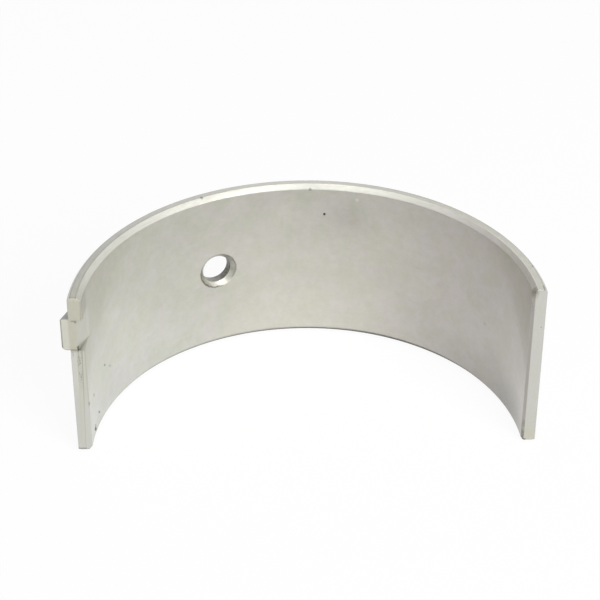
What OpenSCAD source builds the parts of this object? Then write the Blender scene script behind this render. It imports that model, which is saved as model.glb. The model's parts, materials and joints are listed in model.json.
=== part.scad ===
// Engine bearing shell: the half-round liner that lies between a bearing housing and its journal.
// It stands on one end face, the bearing axis is +Z through the origin, the crown points to +Y
// and the two parting faces look to -Y. The locating lug is at the left end.

/* [Shell] */
// Diameter of the back, which seats in the housing
back_d = 74.4; // [60:0.1:110]
// Wall thickness, from the running surface to the back
wall = 2.25; // [1.9:0.05:3.5]
// Width along the bearing axis
width = 29.7; // [20:0.1:60]
// How far the parting faces stop short of the bearing axis, as the free shell springs open
parting_set = 1.5; // [0:0.1:3]

/* [Edges] */
// Chamfer on the inner edge of both rims
rim_chamfer = 0.75; // [0.2:0.05:1]
// Chamfer on the outer edge of both rims
back_chamfer = 0.4; // [0.1:0.05:0.6]
// Chamfer along the inner edge of each parting face
parting_chamfer = 0.45; // [0.1:0.05:0.8]

/* [Oil hole] */
// Diameter of the oil hole
hole_d = 5; // [2:0.1:8]
// Width of the countersink round the hole, on the running surface
sink_w = 0.75; // [0.2:0.05:1.4]
// Angle of the hole from the crown, towards the lug
hole_angle = 24; // [0:1:45]

/* [Locating lug] */
// Length of the lug along the bearing axis
lug_w = 5.8; // [3:0.1:10]
// Distance from the upper end face to the lug
lug_drop = 4.1; // [2:0.1:6]
// How far the lug stands out from the back
lug_reach = 1.35; // [0.5:0.05:2]
// Distance behind the parting face at which the lug and its recess run out
lug_run = 4.5; // [2:0.1:8]
// How far the front of the lug is set back from the parting face
lug_set = 0.35; // [0:0.05:0.8]
// Radius of the lower outer corner of the lug
lug_corner = 0.8; // [0.2:0.05:1]
// Depth of the recess that the pressed-out lug leaves in the running surface
recess_depth = 1.05; // [0.3:0.05:1.4]

/* [Hidden] */
$fn = 180;
// Length by which a cutter runs past the face that it cuts
cut = 1;

back_r = back_d / 2;
run_r = back_r - wall;
mid_z = width / 2;
lug_top = width - lug_drop;
lug_bottom = lug_top - lug_w;
run_out = parting_set + lug_run;

// Distance from the axis plane to a circle of radius r, at the distance y behind the axis
function half_span(r, y) = sqrt(r * r - y * y);

back_x = half_span(back_r, parting_set);
run_x = half_span(run_r, parting_set);
lug_x = back_x + lug_reach;
recess_x = run_x + recess_depth;

// Section of the wall, with its chamfered rims
module wall_section() {
    polygon([
        [run_r, rim_chamfer],
        [run_r + rim_chamfer, 0],
        [back_r - back_chamfer, 0],
        [back_r, back_chamfer],
        [back_r, width - back_chamfer],
        [back_r - back_chamfer, width],
        [run_r + rim_chamfer, width],
        [run_r, width - rim_chamfer]
    ]);
}

// Half round turned from the wall section, cut off square at the parting plane
module half_round() {
    difference() {
        rotate_extrude(angle = 180)
            wall_section();
        translate([-back_r - cut, -cut, -cut])
            cube([2 * (back_r + cut), parting_set + cut, width + 2 * cut]);
    }
}

// Bevel along the inner edge of the parting face at the right end
module parting_bevel() {
    translate([0, 0, -cut])
        linear_extrude(width + 2 * cut)
            polygon([
                [run_x - cut, parting_set - cut],
                [run_x + parting_chamfer + cut, parting_set - cut],
                [run_x + parting_chamfer, parting_set],
                [run_x, parting_set + parting_chamfer],
                [run_x - cut, parting_set + parting_chamfer]
            ]);
}

// Oil hole through the wall at mid width, countersunk from the running surface
module oil_hole() {
    rotate([0, 0, 90 + hole_angle])
        translate([0, 0, mid_z])
            rotate([0, 90, 0]) {
                translate([0, 0, run_r - cut])
                    cylinder(d = hole_d, h = wall + 2 * cut);
                translate([0, 0, run_r - cut])
                    cylinder(r1 = hole_d / 2 + sink_w + cut, r2 = hole_d / 2, h = sink_w + cut);
            }
}

// Plan of the lug: a wedge that stands out at the parting face and runs out along the back
module lug_plan() {
    polygon([
        [-lug_x, parting_set + lug_set],
        [-half_span(back_r, run_out), run_out],
        [-half_span(back_r - wall / 2, run_out), run_out],
        [-recess_x, parting_set + lug_set]
    ]);
}

// Front of the lug, seen along +Y, with its lower outer corner rounded
module lug_front() {
    translate([-lug_x, lug_bottom + lug_corner])
        square([lug_x, lug_w - lug_corner]);
    translate([-lug_x + lug_corner, lug_bottom])
        square([lug_x - lug_corner, lug_w]);
    translate([-lug_x + lug_corner, lug_bottom + lug_corner])
        circle(lug_corner);
}

// Lug pressed out of the wall
module lug() {
    intersection() {
        translate([0, 0, lug_bottom])
            linear_extrude(lug_w)
                lug_plan();
        translate([0, run_out + cut, 0])
            rotate([90, 0, 0])
                linear_extrude(lug_run + 2 * cut)
                    lug_front();
    }
}

// Recess behind the lug: a ramp, deepest at the parting face, that runs out on the running surface
module lug_recess() {
    translate([0, 0, lug_bottom])
        linear_extrude(lug_w)
            polygon([
                [-recess_x, parting_set - cut],
                [-recess_x, parting_set + lug_set],
                [-half_span(run_r, run_out), run_out],
                [-half_span(run_r, run_out) + cut, run_out],
                [-run_x + 2 * cut, parting_set - cut]
            ]);
}

// Step that sets the front of the lug back from the parting face
module lug_step() {
    translate([-lug_x - cut, parting_set - cut, lug_bottom])
        cube([lug_x - recess_x + 2 * cut, lug_set + cut, lug_w]);
}

// Whole shell: one steel-backed strip, formed, bored and pressed
module bearing_shell() {
    color([0.77, 0.77, 0.73])
        difference() {
            union() {
                half_round();
                lug();
            }
            parting_bevel();
            mirror([1, 0, 0])
                parting_bevel();
            oil_hole();
            lug_recess();
            lug_step();
        }
}

bearing_shell();
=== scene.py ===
"""Engine bearing shell: the finely edged shell with its worn metal finish, on a plain white stage."""

import json
import math
import operator
from functools import reduce
from typing import NamedTuple

import bmesh
import bpy
from bpy.props import FloatProperty, FloatVectorProperty, PointerProperty
from mathutils import Matrix, Vector


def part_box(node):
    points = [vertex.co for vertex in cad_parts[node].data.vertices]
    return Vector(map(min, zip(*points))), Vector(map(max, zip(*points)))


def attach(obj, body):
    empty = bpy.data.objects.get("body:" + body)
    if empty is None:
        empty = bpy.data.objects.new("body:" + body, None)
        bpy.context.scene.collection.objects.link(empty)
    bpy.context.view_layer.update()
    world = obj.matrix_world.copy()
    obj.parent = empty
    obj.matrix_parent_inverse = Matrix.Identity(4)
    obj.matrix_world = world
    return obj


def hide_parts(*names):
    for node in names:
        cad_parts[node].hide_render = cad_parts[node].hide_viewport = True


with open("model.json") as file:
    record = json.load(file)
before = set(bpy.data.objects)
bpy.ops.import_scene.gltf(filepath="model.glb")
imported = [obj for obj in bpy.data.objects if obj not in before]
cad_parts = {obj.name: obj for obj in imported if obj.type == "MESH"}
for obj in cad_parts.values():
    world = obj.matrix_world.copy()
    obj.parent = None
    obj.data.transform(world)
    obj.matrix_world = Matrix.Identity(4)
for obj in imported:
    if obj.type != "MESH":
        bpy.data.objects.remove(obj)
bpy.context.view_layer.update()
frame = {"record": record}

bl_info = {
    "name": "Engine bearing shell",
    "version": (1, 0, 0),
    "blender": (4, 5, 0),
    "location": "View3D > Sidebar > Bearing shell",
    "description": "Builds a half-round bearing shell with its metal finish, and a stage to see it on",
    "category": "Object",
}

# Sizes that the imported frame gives, in metres
MM = 0.001
NODE = "bearing_shell"
LOW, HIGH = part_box(NODE)
MOUNTS = {mount["name"]: mount for mount in frame["record"]["mounts"]}
JOURNAL = MOUNTS["journal_bore"]["dims"]
HOLE_AXIS = MOUNTS["oil_hole"]["axis"]
RIM_CHAMFER = (HIGH.z - LOW.z - JOURNAL["length_mm"] * MM) / 2


def length(name, description, default):
    """A size that a user may change, in metres."""
    return FloatProperty(
        name=name, description=description, default=default, min=0, unit="LENGTH", precision=5
    )


def share(name, description, default):
    """A plain factor that a user may change."""
    return FloatProperty(name=name, description=description, default=default, min=0, subtype="FACTOR")


def colour(name, description, default):
    """A colour that a user may change, in linear values."""
    return FloatVectorProperty(
        name=name, description=description, default=default, size=3, min=0, max=1, subtype="COLOR"
    )


def power(name, description, default):
    """Power of a lamp that a user may change, in watts."""
    return FloatProperty(name=name, description=description, default=default, min=0, unit="POWER")


class ShellSizes(bpy.types.PropertyGroup):
    """Sizes of the shell. The frame gives those that it states; the rest repeat the source of the part."""

    back_radius: length("Back radius", "Radius of the back", math.hypot(HIGH.x, LOW.y))
    run_radius: length("Running radius", "Radius of the running surface", JOURNAL["r_mm"] * MM)
    width: length("Width", "Width along the bearing axis", HIGH.z - LOW.z)
    parting_y: length("Parting set", "Distance of the parting faces from the bearing axis", LOW.y)
    rim_chamfer: length("Rim chamfer", "Chamfer on the inner edge of both rims", RIM_CHAMFER)
    back_chamfer: length("Back chamfer", "Chamfer on the outer edge of both rims", 0.4 * MM)
    parting_chamfer: length("Parting chamfer", "Chamfer along the inner edge of a parting face", 0.45 * MM)
    left_head: length("Left chamfer, head", "Width of the left parting chamfer at the upper rim", 0.15 * MM)
    left_foot: length("Left chamfer, foot", "Width of the left parting chamfer at the lower rim", 1.05 * MM)
    foot_chamfer: length("Foot chamfer", "Chamfer at the foot of both parting faces", 0.55 * MM)
    hole_radius: length("Hole radius", "Radius of the oil hole", MOUNTS["oil_hole"]["dims"]["r_mm"] * MM)
    sink_width: length("Countersink", "Width of the countersink round the oil hole", 0.75 * MM)
    lug_width: length("Lug width", "Length of the lug along the bearing axis", 5.8 * MM)
    lug_drop: length("Lug drop", "Distance from the upper rim to the lug", 4.1 * MM)
    lug_reach: length("Lug reach", "How far the lug stands out from the back", -LOW.x - HIGH.x)
    lug_run: length("Lug run", "Length over which the lug and its recess run out", 4.5 * MM)
    lug_set: length("Lug set-back", "How far the front of the lug lies behind the parting face", 0.35 * MM)
    lug_corner: length("Lug corner", "Radius of the lower outer corner of the lug", 0.8 * MM)
    recess_depth: length("Recess depth", "Depth of the recess behind the lug", 1.05 * MM)
    edge_break: length("Edge break", "Width of the worn edge where two faces meet", 0.06 * MM)


class ShellLooks(bpy.types.PropertyGroup):
    """Colours and finish of the shell's metal."""

    # The three side colours of the plating are painted light and shade: lighter towards the lug and low down,
    # darker at the plain end
    plating_lit_lug_side: colour("Plating, lug side", "Running surface towards the lug", (0.546, 0.537, 0.495))
    plating_middle: colour("Plating, crown", "Running surface at the crown", (0.527, 0.508, 0.466))
    plating_shaded_plain_side: colour("Plating, plain side", "Running surface at the plain end", (0.489, 0.459, 0.439))
    plating_lit_low: colour("Plating, low", "Running surface low at the lug side", (0.543, 0.537, 0.511))
    steel: colour("Cut steel", "Colour of the rims and the parting faces", (0.505, 0.50, 0.465))
    worn_steel: colour("Worn steel", "Colour of the rubbed steel round the lug", (0.50, 0.49, 0.40))
    warm_tint: colour("Warm tint", "Tint of the warmer clouds in the plating", (0.976, 1.0, 0.93))
    stain_tint: colour("Stain tint", "Tint of the rosy stains in the plating", (1.0, 0.956, 0.972))
    back: colour("Back", "Colour of the back", (0.47, 0.47, 0.44))
    # One dark colour serves real dirt in pits and nicks and the painted shade in corners, recesses, round the
    # lug, on the lower chamfer and in the oil hole
    grime_and_shade: colour("Grime", "Colour of dirt in corners, pits and nicks", (0.05, 0.047, 0.036))
    roughness: share("Roughness", "Roughness of the running surface", 0.42)
    metallic: share("Metallic", "Share of bare metal in the satin finish", 0.7)
    film: share("Oil film", "Share of the surface that carries a thin film of oil", 0.4)
    film_roughness: share("Film roughness", "Roughness of the oil film", 0.08)


class StageLooks(bpy.types.PropertyGroup):
    """Floor, lamps and even light of the stage."""

    floor: colour("Floor", "Colour of the floor", (0.93, 0.93, 0.93))
    floor_white: share("Floor white", "Share of plain white in the floor as it is seen", 0.94)
    sky: share("Sky", "Strength of the even light from all round", 0.05)
    overhead: power("Overhead lamp", "Power of the lamp overhead", 2.0)
    front: power("Front lamp", "Power of the lamp above the camera", 0.7)
    key: power("Key lamp", "Power of the large lamp at the front right", 6.2)


class ShellForm:
    """Points on the surfaces of the shell. Angles turn from the right end over the crown to the left end."""

    def __init__(self, sizes):
        self.sizes = sizes
        self.lug_top = sizes.width - sizes.lug_drop
        self.lug_bottom = self.lug_top - sizes.lug_width
        self.run_out = sizes.parting_y + sizes.lug_run
        self.lug_front = sizes.parting_y + sizes.lug_set
        self.run_x = half_span(sizes.run_radius, sizes.parting_y)
        self.lug_x = half_span(sizes.back_radius, sizes.parting_y) + sizes.lug_reach
        self.recess_x = self.run_x + sizes.recess_depth
        self.hole_angle = math.atan2(HOLE_AXIS[1], HOLE_AXIS[0])
        self.hole_z = sizes.width / 2
        self.block = self.lug_bottom - self.hole_z
        self.rows = self.heights()

    def heights(self):
        """Heights of the rows of points, from the lower rim to the upper one."""
        s = self.sizes
        tip = s.rim_chamfer - s.parting_chamfer
        stations = [
            0.0,
            tip,
            s.back_chamfer,
            s.foot_chamfer,
            s.rim_chamfer,
            self.hole_z - self.block,
            self.lug_bottom,
            self.lug_bottom + s.lug_corner,
            self.lug_top,
            s.width - s.rim_chamfer,
            s.width - s.back_chamfer,
            s.width - tip,
            s.width,
        ]
        return spread(stations, ROW_STEPS)

    def rim_cut(self, z, chamfer):
        """How far a chamfered rim stands back from its wall at a height."""
        return max(0.0, chamfer - z, z - (self.sizes.width - chamfer))

    def run_radius_at(self, z):
        return self.sizes.run_radius + self.rim_cut(z, self.sizes.rim_chamfer)

    def back_radius_at(self, z):
        return self.sizes.back_radius - self.rim_cut(z, self.sizes.back_chamfer)

    def chamfer_width(self, z, side):
        """Width of a parting chamfer on its parting face, with side 1 at the right end and -1 at the left."""
        s = self.sizes
        if side > 0:
            return s.parting_chamfer
        return mix(s.left_foot, s.left_head, z / s.width)

    def end_y(self, z):
        """Distance of the parting faces from the axis plane at a height, more at their chamfered foot."""
        return self.sizes.parting_y + max(0.0, self.sizes.foot_chamfer - z)

    def chamfer_edge(self, z, side):
        """Distance from the middle plane at which a parting chamfer meets its parting face."""
        gone = (self.end_y(z) - self.sizes.parting_y) / self.sizes.parting_chamfer
        return self.run_x + self.chamfer_width(z, side) * (1 - gone)

    def run_end(self, z, side):
        """Distance from the axis plane at which the running surface meets a parting chamfer."""
        s = self.sizes
        radius = self.run_radius_at(z)
        if half_span(radius, self.end_y(z)) >= self.chamfer_edge(z, side):
            return self.end_y(z)
        width = self.chamfer_width(z, side)
        edge = self.run_x + width
        slant = width * width + s.parting_chamfer * s.parting_chamfer
        lean = edge * width - s.parting_y * s.parting_chamfer
        excess = edge * edge + s.parting_y * s.parting_y - radius * radius
        return s.parting_y + s.parting_chamfer * (lean - math.sqrt(lean * lean - slant * excess)) / slant

    def columns(self, radius, right_end, front, left_end):
        """Angles of the columns of points on a circle, whose ends are given as distances from the axis."""
        block = self.block / self.sizes.run_radius
        stations = [
            math.asin(right_end / radius),
            self.hole_angle - block,
            self.hole_angle + block,
            math.pi - math.asin(self.run_out / radius),
            math.pi - math.asin(front / radius),
            math.pi - math.asin(left_end / radius),
        ]
        return spread(stations, COLUMN_STEPS)

    def running(self, z):
        """Row of points round the running surface at a height."""
        radius = self.run_radius_at(z)
        end = self.run_end(z, -1)
        columns = self.columns(radius, self.run_end(z, 1), end + self.sizes.lug_set, end)
        return [ring_point(radius, a, z) for a in columns]

    def back(self, z):
        """Row of points round the back at a height."""
        radius = self.back_radius_at(z)
        end = self.end_y(z)
        return [ring_point(radius, a, z) for a in self.columns(radius, end, end + self.sizes.lug_set, end)]

    def parting_line(self, z, side):
        """Point on the inner edge of a parting face, with side 1 at the right end and -1 at the left."""
        y = self.end_y(z)
        x = max(self.chamfer_edge(z, side), half_span(self.run_radius_at(z), y))
        return Vector((side * x, y, z))

    def lug_share(self, z):
        """Share of its full reach that the lug has at a height, less at its rounded lower corner."""
        corner = self.sizes.lug_corner
        short = max(0.0, corner - (z - self.lug_bottom))
        return 1 - (corner - math.sqrt(corner * corner - short * short)) / self.sizes.lug_reach

    def lug_face(self, z):
        """Row of points along the outer face of the lug, from its run-out to its front."""
        back = self.back(z)[LUG_COLUMNS]
        root = half_span(self.sizes.back_radius, self.run_out)
        points = []
        for point in back:
            along = (self.run_out - point.y) / (self.run_out - self.lug_front)
            rise = root + (self.lug_x - root) * along + point.x
            points.append(Vector((point.x - rise * self.lug_share(z), point.y, z)))
        return points

    def recess_floor(self, z):
        """Row of points along the floor of the recess, from its run-out to the front of the lug."""
        count = COLUMN_STEPS[3]
        root = half_span(self.sizes.run_radius, self.run_out)
        return [
            Vector((-mix(root, self.recess_x, k / count), mix(self.run_out, self.lug_front, k / count), z))
            for k in range(count + 1)
        ]

    def hole_point(self, depth, across, up):
        """Point beside the axis of the oil hole: its distance from the bearing axis, then across and up."""
        c, s = math.cos(self.hole_angle), math.sin(self.hole_angle)
        return Vector((c * depth - s * across, s * depth + c * across, self.hole_z + up))

    def sink_rim(self, turn):
        """Point where the countersink meets the running surface, at a turn round the hole."""
        s = self.sizes
        flat_reach = s.hole_radius + s.sink_width
        reach = flat_reach
        for _ in range(SINK_ROUNDS):
            reach = flat_reach + s.run_radius - half_span(s.run_radius, reach * math.cos(turn))
        return reach * math.cos(turn), reach * math.sin(turn)


# Steps between the rows, from the lower rim to the upper one
ROW_STEPS = [1, 1, 1, 1, 12, 20, 6, 7, 5, 1, 1, 1]

# Steps between the columns: right end, oil hole, lug run-out, front of the lug, left end
COLUMN_STEPS = [136, 24, 62, 10, 1]
HOLE_COLUMNS = slice(sum(COLUMN_STEPS[:1]), sum(COLUMN_STEPS[:2]) + 1)
LUG_COLUMNS = slice(sum(COLUMN_STEPS[:3]), sum(COLUMN_STEPS[:4]) + 1)

# Rings of points round the oil hole, how they crowd, and the rounds that settle the rim of its countersink
HOLE_RINGS = 7
HOLE_CROWDING = 0.85
SINK_ROUNDS = 12


def mix(a, b, t):
    return a + (b - a) * t


def half_span(radius, offset):
    """Half the chord of a circle at a distance from its centre."""
    return math.sqrt(radius * radius - offset * offset)


def ring_point(radius, angle, z):
    return Vector((radius * math.cos(angle), radius * math.sin(angle), z))


def spread(stations, steps):
    """Values from the first station to the last, with the given number of even steps between neighbours."""
    values = [stations[0]]
    for start, end, count in zip(stations, stations[1:], steps):
        values += [mix(start, end, (k + 1) / count) for k in range(count)]
    return values


class ShellMesh:
    """Collects the faces of the shell, welds them and breaks the edges."""

    # Gap that is welded, angle of a sharp edge, least width of a face beside a broken edge, and its rounding
    WELD = 1e-7
    SHARP = math.radians(20)
    NARROW = 2.5
    EDGE_STEPS = 2
    EDGE_ROUNDNESS = 0.5

    def __init__(self, form):
        self.form = form
        self.bm = bmesh.new()
        self.running = [form.running(z) for z in form.rows]
        self.back = [form.back(z) for z in form.rows]
        self.hole_rows = self.row_range(form.hole_z - form.block, form.hole_z + form.block)
        self.lug_rows = self.row_range(form.lug_bottom, form.lug_top)

    def row_range(self, low, high):
        """Numbers of the rows from one height to another."""
        return [j for j, z in enumerate(self.form.rows) if low - self.WELD <= z <= high + self.WELD]

    def face(self, *points):
        """Adds one face, leaving out points that fall together."""
        kept = [p for k, p in enumerate(points) if (p - points[k - 1]).length > self.WELD]
        if len(kept) > 2:
            self.bm.faces.new([self.bm.verts.new(p) for p in kept])

    def strip(self, one, other):
        """Adds a strip of faces between two rows of points."""
        for a, b, c, d in zip(one, one[1:], other[1:], other):
            self.face(a, b, c, d)

    def walls(self, rows):
        """Running surface or back, left open at the oil hole and at the lug."""
        for j in range(len(rows) - 1):
            for i in range(len(rows[0]) - 1):
                in_hole = j in self.hole_rows[:-1] and HOLE_COLUMNS.start <= i < HOLE_COLUMNS.stop - 1
                in_lug = j in self.lug_rows[:-1] and i >= LUG_COLUMNS.start
                if not in_hole and not in_lug:
                    self.face(rows[j][i], rows[j][i + 1], rows[j + 1][i + 1], rows[j + 1][i])

    def rims(self):
        """Flat end faces at the bottom and the top."""
        form = self.form
        for j in (0, -1):
            self.strip(self.running[j], self.back[j])
            for i, side in ((0, 1), (-1, -1)):
                self.face(self.running[j][i], form.parting_line(form.rows[j], side), self.back[j][i])

    def parting_faces(self):
        """Parting face and its chamfer at both ends, left open at the lug."""
        form = self.form
        for i, side in ((0, 1), (-1, -1)):
            for j in range(len(form.rows) - 1):
                if side < 0 and j in self.lug_rows[:-1]:
                    continue
                low, high = [
                    [self.running[k][i], form.parting_line(form.rows[k], side), self.back[k][i]]
                    for k in (j, j + 1)
                ]
                self.strip(low, high)

    def lug(self):
        """Lug pressed out of the wall, with its recess, its front and the two steps beside it."""
        form = self.form
        heights = [form.rows[j] for j in self.lug_rows]
        outer = [form.lug_face(z) for z in heights]
        floor = [form.recess_floor(z) for z in heights]
        seat = [self.back[j][LUG_COLUMNS][-1] for j in self.lug_rows]
        front = [[a[-1], b, c[-1]] for a, b, c in zip(floor, seat, outer)]
        for k in range(len(heights) - 1):
            self.strip(outer[k], outer[k + 1])
            self.strip(floor[k], floor[k + 1])
            self.strip(front[k], front[k + 1])
        for k, j in ((0, self.lug_rows[0]), (-1, self.lug_rows[-1])):
            self.strip(self.back[j][LUG_COLUMNS], outer[k])
            self.strip(self.running[j][LUG_COLUMNS], floor[k])
            self.face(
                self.running[j][LUG_COLUMNS][-1],
                self.running[j][-1],
                form.parting_line(form.rows[j], -1),
                self.back[j][-1],
                seat[k],
                floor[k][-1],
            )

    def block_border(self, rows):
        """Points round the square that is left open for the oil hole."""
        first, last = HOLE_COLUMNS.start, HOLE_COLUMNS.stop - 1
        low, high = self.hole_rows[0], self.hole_rows[-1]
        border = [rows[low][i] for i in range(first, last)]
        border += [rows[j][last] for j in range(low, high)]
        border += [rows[high][i] for i in range(last, first, -1)]
        border += [rows[j][first] for j in range(high, low, -1)]
        return border

    def hole_ring(self, radius, border, rim, t):
        """Ring of points on a wall, between the border of the square and the rim of the hole."""
        form = self.form
        ring = []
        for point, (across, up) in zip(border, rim):
            turn = math.atan2(point.y, point.x)
            if t == 0:
                ring.append(point)
                continue
            angle = mix(turn, form.hole_angle + math.asin(across / radius), t)
            ring.append(ring_point(radius, angle, mix(point.z, form.hole_z + up, t)))
        return ring

    def oil_hole(self):
        """Oil hole through the wall, with its countersink."""
        form = self.form
        s = form.sizes
        inner = self.block_border(self.running)
        outer = self.block_border(self.back)
        turns = []
        for point in inner:
            around = (math.atan2(point.y, point.x) - form.hole_angle) * s.run_radius
            turns.append(math.atan2(point.z - form.hole_z, around))
        sink = [form.sink_rim(turn) for turn in turns]
        bore = [(s.hole_radius * math.cos(turn), s.hole_radius * math.sin(turn)) for turn in turns]
        steps = [(k / HOLE_RINGS) ** HOLE_CROWDING for k in range(HOLE_RINGS + 1)]
        rings = [self.hole_ring(s.run_radius, inner, sink, t) for t in steps]
        rings.append([form.hole_point(s.run_radius + s.sink_width, *at) for at in bore])
        rings += [self.hole_ring(s.back_radius, outer, bore, t) for t in reversed(steps)]
        for ring, following in zip(rings, rings[1:]):
            self.strip(ring + ring[:1], following + following[:1])

    def break_edges(self):
        """Rounds every edge a little, apart from slivers that are too narrow to round."""
        width = self.form.sizes.edge_break
        edges = []
        for edge in self.bm.edges:
            if len(edge.link_faces) != 2 or edge.calc_face_angle() < self.SHARP:
                continue
            if min(f.calc_area() for f in edge.link_faces) / edge.calc_length() > self.NARROW * width:
                edges.append(edge)
        bmesh.ops.bevel(
            self.bm,
            geom=edges,
            offset=width,
            segments=self.EDGE_STEPS,
            profile=self.EDGE_ROUNDNESS,
            affect="EDGES",
            clamp_overlap=False,
        )

    def normals(self):
        """Normals that lean towards the larger faces, so that broad faces stay flat beside their edges."""
        leaned = []
        for vert in self.bm.verts:
            total = Vector()
            for f in vert.link_faces:
                total += f.normal * f.calc_area()
            leaned.append(total.normalized())
        return leaned

    def finished(self, name):
        """The whole shell as a new object."""
        self.walls(self.running)
        self.walls(self.back)
        self.rims()
        self.parting_faces()
        self.lug()
        self.oil_hole()
        bmesh.ops.remove_doubles(self.bm, verts=self.bm.verts, dist=self.WELD)
        bmesh.ops.recalc_face_normals(self.bm, faces=self.bm.faces)
        self.break_edges()
        bmesh.ops.recalc_face_normals(self.bm, faces=self.bm.faces)
        open_edges = sum(1 for edge in self.bm.edges if len(edge.link_faces) != 2)
        if open_edges:
            raise RuntimeError(f"the shell has {open_edges} open edges")
        for f in self.bm.faces:
            f.smooth = True
        normals = self.normals()
        mesh = bpy.data.meshes.new(name)
        self.bm.to_mesh(mesh)
        self.bm.free()
        mesh.normals_split_custom_set_from_vertices(normals)
        shell = bpy.data.objects.new(name, mesh)
        bpy.context.scene.collection.objects.link(shell)
        return shell


class Value:
    """A number that varies over a surface: a shader socket that Python's operators work on."""

    def __init__(self, finish, socket):
        self.finish = finish
        self.socket = socket

    def sibling(self, output):
        """Another output of the same node."""
        return Value(self.finish, self.socket.node.outputs[output])

    def __add__(self, other):
        return self.finish.maths("ADD", self, other)

    def __sub__(self, other):
        return self.finish.maths("SUBTRACT", self, other)

    def __rsub__(self, other):
        return self.finish.maths("SUBTRACT", other, self)

    def __mul__(self, other):
        return self.finish.maths("MULTIPLY", self, other)

    def __truediv__(self, other):
        return self.finish.maths("DIVIDE", self, other)

    def __rtruediv__(self, other):
        return self.finish.maths("DIVIDE", other, self)

    def __pow__(self, other):
        return self.finish.maths("POWER", self, other)

    def __abs__(self):
        return self.finish.maths("ABSOLUTE", self)

    __radd__ = __add__
    __rmul__ = __mul__


class Finish:
    """One material, and the nodes that make it."""

    def __init__(self, tree):
        self.tree = tree
        tree.nodes.clear()

    def add(self, kind, settings=None, sockets=None, output=0):
        """Adds one node: its settings come first, then the values or links of its sockets."""
        node = self.tree.nodes.new(kind)
        for name, value in (settings or {}).items():
            setattr(node, name, value)
        for name, value in (sockets or {}).items():
            if isinstance(value, Value):
                self.tree.links.new(value.socket, node.inputs[name])
            else:
                node.inputs[name].default_value = value
        return Value(self, node.outputs[output] if len(node.outputs) else None)

    def maths(self, operation, *values):
        return self.add("ShaderNodeMath", {"operation": operation}, dict(enumerate(values)))

    def rise(self, value, low, high):
        """Smooth rise from 0 at the low value to 1 at the high one, or a fall where low is the higher."""
        return self.add(
            "ShaderNodeMapRange",
            {"interpolation_type": "SMOOTHSTEP"},
            {"Value": value, "From Min": low, "From Max": high},
        )

    def blend(self, factor, one, other):
        """Mixes two colours."""
        return self.add(
            "ShaderNodeMix", {"data_type": "RGBA"}, {0: factor, 6: rgba(one), 7: rgba(other)}, 2
        )

    def scaled(self, colour_value, factor):
        """A colour made lighter or darker by a factor."""
        return self.add(
            "ShaderNodeVectorMath", {"operation": "SCALE"}, {0: colour_value, "Scale": factor}
        )

    def shown(self):
        """1 for what the camera sees, straight or in metal or glass, and 0 for light on matt surfaces."""
        ray = self.add("ShaderNodeLightPath", output="Is Camera Ray")
        mirrored = self.maths("MAXIMUM", ray.sibling("Is Glossy Ray"), ray.sibling("Is Transmission Ray"))
        return self.maths("MAXIMUM", ray, mirrored)

    def noise(self, vector, detail, roughness):
        return self.add(
            "ShaderNodeTexNoise",
            {"noise_dimensions": "3D"},
            {"Vector": vector, "Scale": 1.0, "Detail": detail, "Roughness": roughness},
        )


def rgba(value):
    """A colour as a node socket takes it."""
    return value if isinstance(value, Value) else (*value, 1.0)


class Field(NamedTuple):
    """Noise over the shell: its stretch along three lengths, its detail and its roughness."""

    first: float
    second: float
    third: float
    detail: float
    roughness: float


class Change(NamedTuple):
    """Change of tone round the turn, from the angle where it is nothing to the one where it is full.

    With a middle, both angles count from it to either side.
    """

    nothing: float
    full: float
    amount: float
    middle: float = None


class Pit(NamedTuple):
    """Small spot on the running surface: half length, half height, lean and strength."""

    angle: float
    height: float
    reach: float
    tall: float
    lean: float
    amount: float


class Patch(NamedTuple):
    """Soft patch on the running surface: reach round the turn, reach in height and strength."""

    angle: float
    height: float
    reach: float
    tall: float
    amount: float


# Finish of the shell: lengths in millimetres, angles in degrees to the right of the crown, tones as shares

# Noises over the unrolled shell, stretched round the turn, in height and outwards
FIELDS = {
    "clouds": Field(0.12, 0.12, 0.12, 3.0, 0.55),
    "mottle": Field(0.9, 0.9, 0.9, 3.0, 0.65),
    "tint": Field(0.3, 0.3, 0.3, 4.0, 0.65),
    "grain": Field(7.0, 7.0, 7.0, 2.0, 0.6),
    "lines": Field(0.03, 5.0, 5.0, 2.0, 0.6),
    "bands": Field(0.04, 0.7, 1.0, 4.0, 0.6),
    "scuffs": Field(0.6, 3.0, 3.0, 3.0, 0.65),
    "rubs": Field(0.5, 0.09, 1.0, 3.0, 0.55),
}

# Noise of the drawn streaks, stretched along the three straight lengths
STREAKS = Field(5.0, 1.0, 0.9, 3.0, 0.6)

# How strongly noises change the tone of a face, the edge of a mark, the roughness or the relief
PLATING_SWINGS = {"clouds": 0.1, "mottle": 0.2, "lines": 0.04, "tint": 0.12}
RIM_SWINGS = {"scuffs": 0.35, "grain": 0.15}
PARTING_SWINGS = {"streaks": 0.12}
LUG_SWINGS = {"streaks": 0.15}
BACK_SWINGS = {"bands": 0.22, "lines": 0.12, "mottle": 0.1}
SINK_SWINGS = {"mottle": 0.8}
BURR_SWINGS = {"mottle": 0.5, "grain": 0.3}
BORE_SWINGS = {"scuffs": 0.9}
STAIN_SWINGS = {"mottle": 1.2}
HOLE_SWINGS = {"mottle": 2.0}
ROUGH_SWINGS = {"mottle": 0.08, "lines": 0.06}
BACK_ROUGH_SWINGS = {"bands": 0.15}
RELIEF = {"lines": 0.4, "grain": 0.4, "mottle": 0.5}

# Ragged marks: a noise, the noise that breaks it up, by how much, and where marks start and are full
ROUGH_SEAM = ("streaks", "grain", 0.6, 0.53, 0.7)
HEAD_SCUFFS = ("streaks", "grain", 0.3, 0.52, 0.66)
NICKS = ("grain", "streaks", 0.6, 0.5, 0.68)
CHIPS = ("grain", "streaks", 0.6, 0.4, 0.56)

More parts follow.
